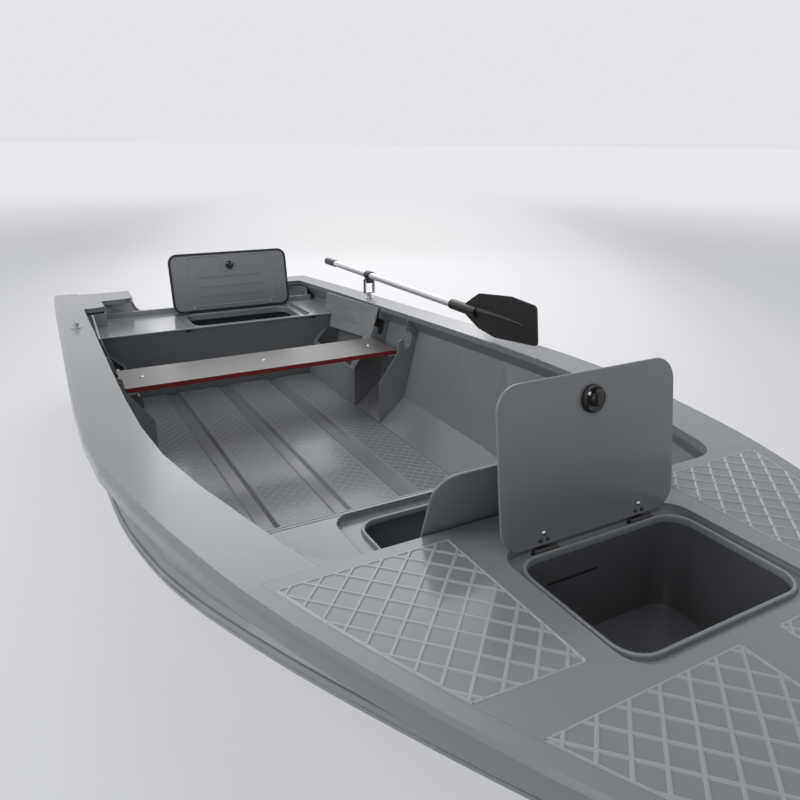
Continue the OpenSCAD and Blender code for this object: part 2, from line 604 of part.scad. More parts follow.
module bow_lid() placed() color(grey) opened(bow_axis, 0, lid_open, 1) lid_plate(bow_lid_l, bow_lid_w, 1);
module seat_lid() placed() color(grey) opened(seat_axis, 0, seat_open, -1) lid_plate(seat_lid_l, seat_lid_w, -1);
module stern_lid() placed() color(grey) opened(stern_axis, stern_cy, lid_open, 1) {
    lid_plate(stern_lid_l, stern_lid_w, 1);
}
module stern_seal() placed() color(dark) opened(stern_axis, stern_cy, lid_open, 1) difference() {
    slab(lid_gap + 3, lid_gap - 3 + stern_lid_l, -stern_lid_w / 2 + 3, stern_lid_w / 2 - 3, lid_r - 3,
        lid_up - lid_t / 2 - seat - 1.5, 1.5);
    slab(lid_gap + 8, lid_gap - 8 + stern_lid_l, -stern_lid_w / 2 + 8, stern_lid_w / 2 - 8, lid_r - 8,
        lid_up - lid_t / 2 - seat - 3, 4);
}

// Turning latch on a lid's inner face, a distance from the hinge line
module latch(r) {
    translate([0, 0, lid_up - lid_t / 2 - seat - 16]) cylinder(r = r, h = 16);
    translate([0, 0, lid_up - lid_t / 2 - seat - 22]) cylinder(r = r * 0.62, h = 6);
}
module bow_latch() placed() color(dark) opened(bow_axis, 0, lid_open, 1) translate([lid_gap + bow_lid_l - 56, 0, 0]) latch(29);
module seat_latch() placed() color(dark) opened(seat_axis, 0, seat_open, -1) translate([58 - lid_gap - seat_lid_l, 0, 0]) latch(25);
module stern_latch() placed() color(dark) opened(stern_axis, stern_cy, lid_open, 1) translate([lid_gap + stern_lid_l - 75, 0, 0]) latch(22);

module bow_lid_leaves() placed() color(dark) opened(bow_axis, 0, lid_open, 1) for (y = [-112, 112]) translate([0, y, 0]) leaf_half(1);
module seat_lid_leaves() placed() color(dark) opened(seat_axis, 0, seat_open, -1) for (y = [-180, 180]) translate([0, y, 0]) leaf_half(-1);
module stern_lid_leaves() placed() color(dark) opened(stern_axis, stern_cy, lid_open, 1) for (y = [-200, 200]) translate([0, y, 0]) leaf_half(1);

// Oar and oarlock
oar_z = gz(lock_x) + oar_rise;
grip_l = 500;
blade_l = 760;
oar_lift = 0.4;
tilt_z = oar_z - 26;

module oarlock_fork() placed() color([0.75, 0.76, 0.78]) translate([lock_x, lock_y, gz(lock_x)]) {
    h = tilt_z - gz(lock_x);
    translate([0, 0, 1.3]) cylinder(r = lock_pin_r, h = 24);
    translate([-9, -26, 24]) cube([18, 52, 6]);
    difference() {
        for (y = [-26, 20]) {
            translate([-9, y, 24]) cube([18, 6, h - 24]);
            translate([0, y, h]) rotate([-90, 0, 0]) cylinder(r = 9, h = 6);
        }
        translate([0, -40, h]) rotate([-90, 0, 0]) cylinder(r = 4.05, h = 80);
    }
}

// The oar lies blade forward, its blade a little above the gunwale
module stowed() translate([lock_x, lock_y, tilt_z]) rotate([0, -oar_lift, 0]) translate([0, 0, oar_z - tilt_z]) children();

module oar_collar() placed() color(dark) stowed() {
    difference() {
        union() {
            rotate([0, 90, 0]) translate([0, 0, -21]) cylinder(r = 20, h = 42);
            translate([-14, -16, -36]) cube([28, 32, 30]);
        }
        rotate([0, 90, 0]) translate([0, 0, -40]) cylinder(r = shaft_r + 0.05, h = 80);
    }
    translate([0, -30, tilt_z - oar_z]) rotate([-90, 0, 0]) cylinder(r = 4, h = 60);
}

module oar_shaft() placed() color([0.75, 0.76, 0.78]) stowed() translate([60 - grip_l, 0, 0]) rotate([0, 90, 0])
    cylinder(r = shaft_r, h = blade_l + grip_l - 60);

module oar_grip() placed() color(dark) stowed() translate([-grip_l, 0, 0]) rotate([0, 90, 0]) difference() {
    cylinder(r = 18, h = 105);
    translate([0, 0, 59.7]) cylinder(r = shaft_r + 0.3, h = 60);
}

module oar_blade() placed() color(dark) stowed() {
    rotate([90, 0, 0]) translate([0, 0, -3]) linear_extrude(6)
        polygon(rounded([for (q = [[50, 12, 10], [150, 74, 60], [340, 96, 90], [476, 88, 18], [496, -44, 16],
            [260, -68, 90], [155, -56, 60], [50, -14, 10]]) [blade_l + q[0], q[1], q[2]]]));
    rotate([0, 90, 0]) translate([0, 0, blade_l - 30]) difference() {
        cylinder(r = 20, h = 170);
        translate([0, 0, -1]) cylinder(r = shaft_r + 0.3, h = 31.3);
    }
}

hull_shell();
runners();
transom();
motor_pad();
gunwale();
foredeck();
bow_bin();
fore_bulkhead();
cockpit_liner();
stern_bulkhead();
stern_deck();
motor_well();
stern_hatch();
seat_locker();
frame_port_fore();
frame_port_aft();
frame_stbd_fore();
frame_stbd_aft();
thwart_ledges();
side_pockets();
side_bins();
thwart();
oarlock_sockets();
bow_eye();
deck_hinges();
bow_lid();
bow_latch();
bow_lid_leaves();
seat_lid();
seat_latch();
seat_lid_leaves();
stern_lid();
stern_seal();
stern_latch();
stern_lid_leaves();
oarlock_fork();
oar_collar();
oar_shaft();
oar_grip();
oar_blade();
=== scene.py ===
# %% [markdown]
# A plastic boat, dressed for its picture.
# The imported model is loaded as a fixed frame in metres: +X to the bow, +Y to port, +Z up.
# Pieces are placed in millimetres of the part's own drawing.

# %% The frame
import bpy
import bmesh
import math
from mathutils import Vector, Matrix
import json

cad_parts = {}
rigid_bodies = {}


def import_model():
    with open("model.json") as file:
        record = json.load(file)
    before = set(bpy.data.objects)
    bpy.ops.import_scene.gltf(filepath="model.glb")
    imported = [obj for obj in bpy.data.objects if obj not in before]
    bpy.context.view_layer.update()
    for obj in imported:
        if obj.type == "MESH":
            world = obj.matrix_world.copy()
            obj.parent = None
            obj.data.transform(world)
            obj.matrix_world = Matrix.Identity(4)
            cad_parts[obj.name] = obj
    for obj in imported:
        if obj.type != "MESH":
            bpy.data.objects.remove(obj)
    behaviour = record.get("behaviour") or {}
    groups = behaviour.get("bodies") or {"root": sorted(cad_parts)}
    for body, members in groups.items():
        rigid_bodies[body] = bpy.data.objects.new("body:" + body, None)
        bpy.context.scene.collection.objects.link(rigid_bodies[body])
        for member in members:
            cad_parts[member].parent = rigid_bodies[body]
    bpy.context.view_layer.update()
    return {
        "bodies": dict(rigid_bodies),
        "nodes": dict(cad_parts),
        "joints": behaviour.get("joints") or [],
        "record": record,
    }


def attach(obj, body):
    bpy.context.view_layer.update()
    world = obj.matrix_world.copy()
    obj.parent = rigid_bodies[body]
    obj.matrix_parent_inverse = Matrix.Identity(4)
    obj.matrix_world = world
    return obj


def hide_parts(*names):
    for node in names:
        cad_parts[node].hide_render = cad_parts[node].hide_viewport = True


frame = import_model()
nodes = frame["nodes"]

# %% [markdown]
# The camera stands over the starboard bow and looks aft and down, as a person at the bow would.
# Its place came from the boat's straight edges; the turn is built from a yaw, a pitch and a slight roll.

# %% The camera
YAW, PITCH, ROLL = math.radians(29.029), math.radians(-20.262), math.radians(-0.576)
EYE = Vector((1.9016, -0.8340, 1.2600))
SENSOR = 36
FOCAL_PIXELS, PICTURE_PIXELS = 698.5, 800


def aim(yaw, pitch, roll):
    ahead = Vector((-math.cos(yaw) * math.cos(pitch), math.sin(yaw) * math.cos(pitch), math.sin(pitch)))
    side = Vector((math.sin(yaw), math.cos(yaw), 0))
    down = ahead.cross(side)
    right = side * math.cos(roll) + down * math.sin(roll)
    low = down * math.cos(roll) - side * math.sin(roll)
    return Matrix((right, -low, -ahead)).transposed()


lens = bpy.data.cameras.new("camera")
lens.sensor_width = SENSOR
lens.lens = SENSOR * FOCAL_PIXELS / PICTURE_PIXELS
camera = bpy.data.objects.new("camera", lens)
camera.matrix_world = Matrix.Translation(EYE) @ aim(YAW, PITCH, ROLL).to_4x4()
bpy.context.scene.collection.objects.link(camera)
bpy.context.scene.camera = camera
print("lens", round(lens.lens, 2), "mm")

# %% [markdown]
# Shader maths reads best as plain formulas, so one small class wraps a socket and overloads the operators,
# and one method adds any other node from its type, settings and inputs.

# %% Shader helpers
class Sock:
    def __init__(self, tree, socket):
        self.tree, self.socket = tree, socket

    def math(self, op, a, b=None, c=None):
        values = {i: v for i, v in enumerate((a, b, c)) if v is not None}
        return add(self.tree, "ShaderNodeMath", {"operation": op}, values)

    def __add__(self, o): return self.math("ADD", self, o)
    def __radd__(self, o): return self.math("ADD", o, self)
    def __sub__(self, o): return self.math("SUBTRACT", self, o)
    def __rsub__(self, o): return self.math("SUBTRACT", o, self)
    def __mul__(self, o): return self.math("MULTIPLY", self, o)
    def __rmul__(self, o): return self.math("MULTIPLY", o, self)
    def __truediv__(self, o): return self.math("DIVIDE", self, o)
    def __gt__(self, o): return self.math("GREATER_THAN", self, o)
    def __lt__(self, o): return self.math("LESS_THAN", self, o)
    def __pow__(self, o): return self.math("POWER", self, o)


def add(tree, kind, settings=None, inputs=None, out=0):
    node = tree.nodes.new(kind)
    for key, value in (settings or {}).items():
        if key == "ramp":
            ramp = node.color_ramp
            while len(ramp.elements) < len(value):
                ramp.elements.new(0.5)
            for stop, (pos, col) in zip(ramp.elements, value):
                stop.position, stop.color = pos, (*col, 1) if len(col) == 3 else col
        else:
            setattr(node, key, value)
    for key, value in (inputs or {}).items():
        if isinstance(value, Sock):
            tree.links.new(value.socket, node.inputs[key])
        else:
            node.inputs[key].default_value = value
    return Sock(tree, node.outputs[out])


def mix(tree, fac, a, b, mode="MIX"):
    node = tree.nodes.new("ShaderNodeMix")
    node.data_type, node.blend_type = "RGBA", mode
    for slot, value in ((0, fac), (6, a), (7, b)):
        if isinstance(value, Sock):
            tree.links.new(value.socket, node.inputs[slot])
        else:
            node.inputs[slot].default_value = value if slot == 0 else (*value[:3], 1)
    return Sock(tree, node.outputs[2])


def finish_of(name):
    mat = bpy.data.materials.new(name)
    mat.use_nodes = True
    tree = mat.node_tree
    tree.nodes.clear()
    out = tree.nodes.new("ShaderNodeOutputMaterial")
    bsdf = tree.nodes.new("ShaderNodeBsdfPrincipled")
    tree.links.new(bsdf.outputs[0], out.inputs[0])
    return mat, tree, bsdf


def plug(tree, bsdf, key, value):
    if isinstance(value, Sock):
        tree.links.new(value.socket, bsdf.inputs[key])
    else:
        bsdf.inputs[key].default_value = value


def noise(tree, where, scale, detail=3, rough=0.5):
    inputs = {"Vector": where, "Scale": scale, "Detail": detail, "Roughness": rough}
    return add(tree, "ShaderNodeTexNoise", None, inputs)


def place(tree):
    return add(tree, "ShaderNodeTexCoord", out=3)


# %% [markdown]
# The mouldings are thermoformed sheet: a glossy skin with a faint orange-peel wave, hazier where it is handled.
# Rounded edges catch a bright line, which the Bevel node gives without touching the mesh.
# It stops at the joint of gunwale and foredeck, so that the deck reads as one skin.

# %% Moulded sheet
MID_X, JOINT_X = 1935, 2855
FOREDECK_JOINT = (JOINT_X - MID_X) / 1000
NO_JOINT = 9
DECK_GREY = (0.215, 0.240, 0.247)


def sheet(name, colour, rough=0.22, edge=0.004, peel=0.0004, mottle=0.06, painted_shade=None, joint=NO_JOINT):
    """Finish of the mouldings; an optional painted shade darkens what lies below a height."""
    mat, tree, bsdf = finish_of(name)
    p = place(tree)
    cloud = noise(tree, p, 1.7, 4)
    fine = noise(tree, p, 60, 3)
    tone = mix(tree, cloud, [c * (1 - mottle) for c in colour], [min(1, c * (1 + mottle)) for c in colour])
    x, _, z = [add(tree, "ShaderNodeSeparateXYZ", None, {"Vector": p}, i) for i in range(3)]
    if painted_shade:
        tone = mix(tree, z < painted_shade[0], tone, painted_shade[1])
    haze = noise(tree, p, 5, 5, 0.6)
    plug(tree, bsdf, "Base Color", tone)
    plug(tree, bsdf, "Roughness", rough + (haze - 0.5) * 0.12 + (fine - 0.5) * 0.04)
    round_edge = add(tree, "ShaderNodeBevel", {"samples": 4}, {"Radius": (x < joint) * edge})
    wave = {"Strength": 0.35, "Distance": peel, "Height": noise(tree, p, 90, 2), "Normal": round_edge}
    plug(tree, bsdf, "Normal", add(tree, "ShaderNodeBump", None, wave))
    plug(tree, bsdf, "Coat Weight", 0.25)
    plug(tree, bsdf, "Coat Roughness", 0.12)
    return mat


deck_sheet = sheet("deck_sheet", DECK_GREY)
# The hull's grey is set lighter than the deck's: painted light for the bright floor's bounce on the hull side.
hull_sheet = sheet("hull_sheet", (0.260, 0.276, 0.290), rough=0.42, edge=0.001)
liner_sheet = sheet("liner_sheet", (0.205, 0.219, 0.232), rough=0.3)
deck_skin = sheet("deck_skin", DECK_GREY, joint=FOREDECK_JOINT)
thin_sheet = sheet("thin_sheet", (0.235, 0.252, 0.265), rough=0.46, edge=0.0006)
# The bow locker is moulded in the deck grey; below the hatch tray its inside is painted dark as shade.
shaded_bin_sheet = sheet("shaded_bin_sheet", DECK_GREY, painted_shade=(0.597, (0.100, 0.103, 0.112)))

# %% Other finishes
def plain(name, colour, rough, metal=0.0, grain=200, depth=0.0002):
    mat, tree, bsdf = finish_of(name)
    p = place(tree)
    n = noise(tree, p, grain, 3)
    plug(tree, bsdf, "Base Color", mix(tree, n, [c * 0.85 for c in colour], [min(1, c * 1.15) for c in colour]))
    plug(tree, bsdf, "Roughness", rough + (n - 0.5) * 0.15)
    plug(tree, bsdf, "Metallic", metal)
    plug(tree, bsdf, "Normal", add(tree, "ShaderNodeBump", None, {"Strength": 0.4, "Distance": depth, "Height": n}))
    return mat


black_plastic = plain("black_plastic", (0.018, 0.018, 0.02), 0.38)
seal_rubber = plain("seal_rubber", (0.012, 0.012, 0.012), 0.6)
steel = plain("steel", (0.55, 0.56, 0.57), 0.25, 1.0, 400, 0.00005)
oar_metal = plain("oar_metal", (0.74, 0.75, 0.77), 0.34, 0.6, 300, 0.00005)


def board_finish():
    """Film-faced board: a brown-grey face, and red plies that show below its top face."""
    top_face = 0.4222
    mat, tree, bsdf = finish_of("board")
    p = place(tree)
    z = add(tree, "ShaderNodeSeparateXYZ", None, {"Vector": p}, 2)
    face = mix(tree, noise(tree, p, 40, 3), (0.078, 0.070, 0.064), (0.108, 0.097, 0.089))
    ply = add(tree, "ShaderNodeMath", {"operation": "SINE"}, {0: z * 2600})
    edge = mix(tree, ply > 0.2, (0.30, 0.022, 0.016), (0.085, 0.010, 0.009))
    plug(tree, bsdf, "Base Color", mix(tree, z < top_face, face, edge))
    plug(tree, bsdf, "Roughness", 0.34)
    return mat


board = board_finish()
FINISH = {"hull_grey": hull_sheet, "deck_grey": deck_sheet, "liner_grey": liner_sheet, "black_plastic": black_plastic,
          "seal_rubber": seal_rubber, "thwart_board": board, "steel": steel, "oar_aluminium": oar_metal}
OWN = {"gunwale": deck_skin, "foredeck": deck_skin, "bow_bin": shaded_bin_sheet, "side_pockets": thin_sheet,
       "side_bins": thin_sheet, "motor_well": thin_sheet}
for part in frame["record"]["subparts"]:
    obj = nodes[part["node"]]
    obj.data.materials.clear()
    obj.data.materials.append(OWN.get(part["node"]) or FINISH[part["material_slot"]])
print("finishes", len(FINISH))

# %% [markdown]
# Lengths below are millimetres in the boat's own drawing: x from the transom, y to port, z from the ground.
# One function turns such a point into the shared frame, and a lid's frame carries its points into the open pose.

# %% Places and meshes
def at(x, y, z):
    return Vector(((x - MID_X) / 1000, y / 1000, z / 1000))


def lid_frame(x, y, z, angle):
    return Matrix.Translation(at(x, y, z)) @ Matrix.Rotation(math.radians(-angle), 4, "Y") @ Matrix.Scale(0.001, 4)


LID_UP = Matrix.Translation((0, 0, 7))
DRAWING = Matrix.Translation(at(0, 0, 0)) @ Matrix.Scale(0.001, 4)
BOW_LID = lid_frame(3055, 0, 608, 99) @ LID_UP
SEAT_LID = lid_frame(2869, 0, 468, -108) @ LID_UP
STERN_LID = lid_frame(301, 141, 433, 99) @ LID_UP


class Shape:
    """Points and faces gathered from several small builders, then made into one piece."""

    def __init__(self):
        self.points, self.faces = [], []

    def take(self, points, faces, frame=DRAWING):
        n = len(self.points)
        self.points += [frame @ Vector(p) for p in points]
        self.faces += [tuple(n + i for i in f) for f in faces]
        return self

    def piece(self, name, finish, body, slot, smooth=True, replaces=()):
        mesh = bpy.data.meshes.new(name)
        mesh.from_pydata(self.points, [], self.faces)
        bm = bmesh.new()
        bm.from_mesh(mesh)
        bmesh.ops.remove_doubles(bm, verts=bm.verts, dist=1e-6)
        bmesh.ops.recalc_face_normals(bm, faces=bm.faces)
        for f in bm.faces:
            f.smooth = smooth
        for e in bm.edges:
            if len(e.link_faces) == 2 and e.calc_face_angle(0) > math.radians(38):
                e.smooth = False
        bm.to_mesh(mesh)
        bm.free()
        mesh.materials.append(finish)
        obj = bpy.data.objects.new(name, mesh)
        bpy.context.scene.collection.objects.link(obj)
        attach(obj, body)
        if replaces:
            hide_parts(*replaces)
        print(name, len(mesh.polygons), "faces")
        return obj


def grid_faces(rows, cols, wrap_rows=False, wrap_cols=False):
    faces = []
    for i in range(rows if wrap_rows else rows - 1):
        for j in range(cols if wrap_cols else cols - 1):
            a, b = i * cols + j, i * cols + (j + 1) % cols
            c, d = ((i + 1) % rows) * cols + (j + 1) % cols, ((i + 1) % rows) * cols + j
            faces.append((a, b, c, d))
    return faces


def round_box(x0, x1, y0, y1, r, n=8):
    """Outline of a rounded rectangle: points with their outward directions."""
    out = []
    for cx, cy, start in ((x1 - r, y1 - r, 0), (x0 + r, y1 - r, 90), (x0 + r, y0 + r, 180), (x1 - r, y0 + r, 270)):
        for k in range(n + 1):
            g = math.radians(start + 90 * k / n)
            out.append((cx + r * math.cos(g), cy + r * math.sin(g), math.cos(g), math.sin(g)))
    return out


def soft_outline(corners, n=6):
    """Outline through rounded corners given as x, y and radius, in either turning sense."""
    pts = []
    for i, (x, y, r) in enumerate(corners):
        a, c, b = Vector(corners[i - 1][:2]), Vector((x, y)), Vector(corners[(i + 1) % len(corners)][:2])
        p, q = c + (a - c).normalized() * r, c + (b - c).normalized() * r
        pts += [p * (1 - t) ** 2 + c * 2 * t * (1 - t) + q * t * t for t in (k / n for k in range(n + 1))]
    out = []
    for i, p in enumerate(pts):
        d = (pts[(i + 1) % len(pts)] - pts[i - 1]).normalized()
        out.append((p.x, p.y, d.y, -d.x))
    return out


def rim(outline, section, closed_section=False):
    """A moulding run round an outline; the section is given as outward offset and height."""
    pts = [(x + nx * o, y + ny * o, h) for x, y, nx, ny in outline for o, h in section]
    return pts, grid_faces(len(outline), len(section), True, closed_section)


def plate(outline, bottom, top, r):
    """A plate with rounded edges, from its outline."""
    arc = [(-r + r * math.cos(math.radians(a)), r * math.sin(math.radians(a))) for a in (90, 67, 45, 22, 0)]
    section = [(o, top - r + h) for o, h in arc] + [(o, bottom + r - h) for o, h in reversed(arc)]
    pts, faces = rim(outline, section)
    n, m = len(outline), len(section)
    faces += [tuple(i * m for i in range(n)), tuple(i * m + m - 1 for i in range(n))]
    return pts, faces


def lathe(profile, n=28, centre=(0, 0, 0)):
    """A turned form, from a profile of radii and heights."""
    cx, cy, cz = centre
    pts = [(cx + r * math.cos(math.tau * k / n), cy + r * math.sin(math.tau * k / n), cz + z)
           for k in range(n) for r, z in profile]
    m = len(profile)
    return pts, grid_faces(n, m, True) + [tuple(k * m + e for k in range(n)) for e in (0, m - 1) if profile[e][0] > 0]


def tube(path, r, n=10):
    """A round rod along a path of points."""
    path = [Vector(p) for p in path]
    up = Vector((0.13, 0.21, 0.97))
    pts = []
    for i, p in enumerate(path):
        d = (path[min(i + 1, len(path) - 1)] - path[max(i - 1, 0)]).normalized()
        u = d.cross(up).normalized()
        v = d.cross(u).normalized()
        pts += [tuple(p + (u * math.cos(math.tau * k / n) + v * math.sin(math.tau * k / n)) * r) for k in range(n)]
    rows = len(path)
    return pts, grid_faces(rows, n, False, True) + [tuple(range(n)), tuple((rows - 1) * n + k for k in range(n))]


def bar(a, b, w, h, z):
    """A low ridge with sloped sides between two points of a level face."""
    ax, ay, bx, by = *a, *b
    l = math.hypot(bx - ax, by - ay)
    nx, ny = -(by - ay) / l, (bx - ax) / l
    pts = []
    for x, y in ((ax, ay), (bx, by)):
        pts += [(x + nx * w, y + ny * w, z), (x + nx * w * 0.45, y + ny * w * 0.45, z + h),
                (x - nx * w * 0.45, y - ny * w * 0.45, z + h), (x - nx * w, y - ny * w, z)]
    return pts, [(0, 1, 5, 4), (1, 2, 6, 5), (2, 3, 7, 6), (0, 1, 2, 3), (4, 5, 6, 7)]


def hatch_lines(poly, angle, pitch):
    """Parallel lines across a convex polygon."""
    d = (math.cos(math.radians(angle)), math.sin(math.radians(angle)))
    n = (-d[1], d[0])
    offs = [x * n[0] + y * n[1] for x, y in poly]
    k = math.ceil(min(offs) / pitch)
    while k * pitch < max(offs):
        cuts = []
        for (ax, ay), (bx, by) in zip(poly, poly[1:] + poly[:1]):
            a, b = ax * n[0] + ay * n[1] - k * pitch, bx * n[0] + by * n[1] - k * pitch
            if (a < 0) != (b < 0):
                t = a / (a - b)
                cuts.append((ax + (bx - ax) * t, ay + (by - ay) * t))
        if len(cuts) == 2 and math.dist(*cuts) > 6:
            yield cuts
        k += 1


# %% [markdown]
# The gunwale's plan curve is the same table and the same blend as in the part's source.
# BEAM holds x and the half width. RAIL holds x, the rail's height and the hull side's set-back.

# %% The boat's edge
BEAM = [(0, 680), (500, 704), (1000, 722), (1850, 753), (2200, 755), (2420, 737), (2640, 694), (2900, 630), (3130, 548),
        (3400, 425), (3650, 280), (3830, 140), (3890, 62)]
RAIL = [(0, 345, 62), (500, 360, 62), (1000, 375, 61), (1850, 398, 60), (2200, 411, 60), (2420, 423, 59),
        (2640, 436, 58), (2900, 456, 80), (3130, 474, 92), (3400, 494, 96), (3650, 512, 90), (3830, 526, 62)]


def curve(table, x, col=1):
    i = max(k for k in range(len(table) - 1) if table[k][0] <= x or k == 0)

    def slope(k):
        a, b = table[max(0, k - 1)], table[min(len(table) - 1, k + 1)]
        return (b[col] - a[col]) / (b[0] - a[0])

    h = table[i + 1][0] - table[i][0]
    t = (x - table[i][0]) / h
    return (table[i][col] * (1 + 2 * t) * (1 - t) ** 2 + table[i + 1][col] * t * t * (3 - 2 * t)
            + h * (slope(i) * t * (1 - t) ** 2 - slope(i + 1) * t * t * (1 - t)))


# Ridges, floor lines and edge beads share a grey lighter than the deck: a painted highlight along them.
highlit_ridge_sheet = sheet("highlit_ridge_sheet", (0.330, 0.360, 0.365), rough=0.3, edge=0.0005)

# %% [markdown]
# The foredeck carries four pads of raised diamond ridges with a thin raised border, in a lighter grey that paints their
# highlight.

# %% Foredeck pads
DECK_FACE, PAD_INSET, PAD_PITCH, DIAMOND = 617.8, 50, 38, 44
pads = Shape()
for side in (-1, 1):
    edge = [(x, curve(BEAM, x) - PAD_INSET) for x in range(2964, 3310, 30)]
    wing = [(2964, 252)] + edge + [(3304, 252)]
    fore = [(3380, 44)] + [(x, curve(BEAM, x) - PAD_INSET) for x in range(3380, 3740, 40)] + [(3740, 44)]
    for poly in (wing, fore):
        poly = [(x, side * y) for x, y in poly]
        for angle in (DIAMOND, -DIAMOND):
            for a, b in hatch_lines(poly, angle, PAD_PITCH):
                pads.take(*bar(a, b, 3.6, 2.0 if angle > 0 else 1.8, DECK_FACE))
        for a, b in zip(poly, poly[1:] + poly[:1]):
            pads.take(*bar(a, b, 2.8, 1.6, DECK_FACE))
pads.piece("foredeck_pads", highlit_ridge_sheet, "boat", "deck_grey", smooth=False)

# %% [markdown]
# The cockpit floor has four panels of fine crossed lines between the channels, each channel with a thin edge; lines and
# edges are in the lighter ridge grey, a painted highlight.

# %% Floor lines
FLOOR_FACE, FLOOR_PITCH = 104.8, 30
lines = Shape()
for side in (-1, 1):
    for y0, y1 in ((44, 208), (300, 452)):
        poly = [(530, side * y0), (2540, side * y0), (2540, side * min(y1, 346)), (2330, side * min(y1, 400)),
                (2120, side * min(y1, 436)), (1900, side * y1), (530, side * y1)]
        poly = [p for k, p in enumerate(poly) if p != poly[k - 1]]
        for angle in (45, -45):
            for a, b in hatch_lines(poly, angle, FLOOR_PITCH):
                lines.take(*bar(a, b, 1.8, 0.9 if angle > 0 else 0.8, FLOOR_FACE))
        for a, b in zip(poly, poly[1:] + poly[:1]):
            lines.take(*bar(a, b, 1.6, 0.9, FLOOR_FACE))
    for y in (36.5, 215, 293):
        lines.take(*bar((520, side * y), (2550, side * y), 1.8, 1.2, FLOOR_FACE))
lines.piece("floor_lines", highlit_ridge_sheet, "boat", "liner_grey", smooth=False)

# %% [markdown]
# Each hatch has a rounded coaming on its tray, where the light runs along the moulding.

# %% Hatch coamings
CORNER, TRAY_DROP = 45, 9.6
LIP = [(-0.3, -10), (-0.3, 0), (0.4, 1.2), (1.8, 1.9), (4.6, 1.9), (6.2, 1.2), (7, 0), (7.4, -5), (9, -7.2), (13, -7.7)]
for name, ring, top, slot in (("bow_hatch_rim", round_box(3068, 3328, -187, 187, CORNER), 618, "liner_grey"),
                              ("seat_hatch_rim", round_box(2612, 2856, -258, 258, CORNER), 478, "deck_grey"),
                              ("stern_hatch_rim", round_box(314, 558, -121, 403, CORNER), 443, "deck_grey")):
    section = [(o, top - TRAY_DROP + h) for o, h in LIP]
    Shape().take(*rim(ring, section)).piece(name, deck_sheet, "boat", slot)

# %% [markdown]
# The lids are plates with softly rounded edges. The stern lid also has a rubber and an embossed panel inside.

# %% Lids
HALF_T, EDGE_R = 3, 2.4
for lid, frame_of, u0, u1, half in (("bow_lid", BOW_LID, 6, 296, 201), ("seat_lid", SEAT_LID, -290, -6, 283),
                                    ("stern_lid", STERN_LID, 6, 300, 304.5)):
    outline = round_box(u0, u1, -half, half, CORNER)
    Shape().take(*plate(outline, -HALF_T, HALF_T, EDGE_R), frame_of).piece(
        lid + "_plate", deck_sheet, lid, "deck_grey", replaces=(lid,))

RUBBER = [(0, -3), (1.4, -3.5), (0, -4.1), (-9, -4.1), (-10, -3)]
seal = Shape().take(*rim(round_box(8, 298, -302.5, 302.5, 43), RUBBER, True), STERN_LID)
seal.piece("stern_lid_rubber", seal_rubber, "stern_lid", "seal_rubber", replaces=("stern_seal",))

NOTCHED = [(38, -215, 26), (38, 215, 26), (278, 215, 26), (278, 56, 8), (206, 56, 10), (206, -56, 10), (278, -56, 8),
           (278, -215, 26)]
FOLD = [(0, -2.8), (-1, -3.9), (-3, -4.3), (-5, -3.9), (-6, -2.8)]
GROOVE = [(0, -2.8), (-0.6, -4.2), (-1.8, -4.2), (-2.4, -2.8)]
panel = Shape().take(*rim(soft_outline(NOTCHED), FOLD), STERN_LID)
for u in (82, 130, 178):
    panel.take(*rim(round_box(u - 4, u + 4, -165, 165, 3.9, 4), GROOVE), STERN_LID)
panel.piece("stern_lid_panel", deck_sheet, "stern_lid", "deck_grey")

# %% [markdown]
# Turning latches: a rosette with a raised ring, and a lever that turns on it.

# %% Latches
LEVER = ((-0.45, -0.26, 0.2), (0.75, -0.30, 0.22), (0.75, 0.30, 0.22), (-0.45, 0.26, 0.2))


def latch_face(name, frame, u, r, body, node):
    """Rosette with a raised ring and a turning lever across it, at a distance from the hinge line."""
    profile = [(0, -3.3), (r, -3.3), (r, -8), (r * 0.96, -11), (r * 0.86, -13), (r * 0.8, -12), (r * 0.5, -12),
               (r * 0.44, -17), (r * 0.38, -19.5), (0, -20)]
    s = Shape().take(*lathe(profile, 40, (u, 0, 0)), frame)
    up = 1 if u > 0 else -1
    lever = [(u + up * a * r, b * r, c * r) for a, b, c in LEVER]
    s.take(*plate(soft_outline(lever if up > 0 else lever[::-1]), -25, -16, 2.4), frame)
    s.piece(name, black_plastic, body, "black_plastic", replaces=(node,))


latch_face("bow_latch_knob", BOW_LID, 247, 25, "bow_lid", "bow_latch")
latch_face("stern_latch_knob", STERN_LID, 233, 20, "stern_lid", "stern_latch")
latch_face("seat_latch_knob", SEAT_LID, -220, 24, "seat_lid", "seat_latch")

# %% [markdown]
# Screws repeat all over the boat, so one geometry-node tree sets a screw on each given point and turns it to the face.
# On a lid's hinge they come in threes: a bright one above and two black ones below.

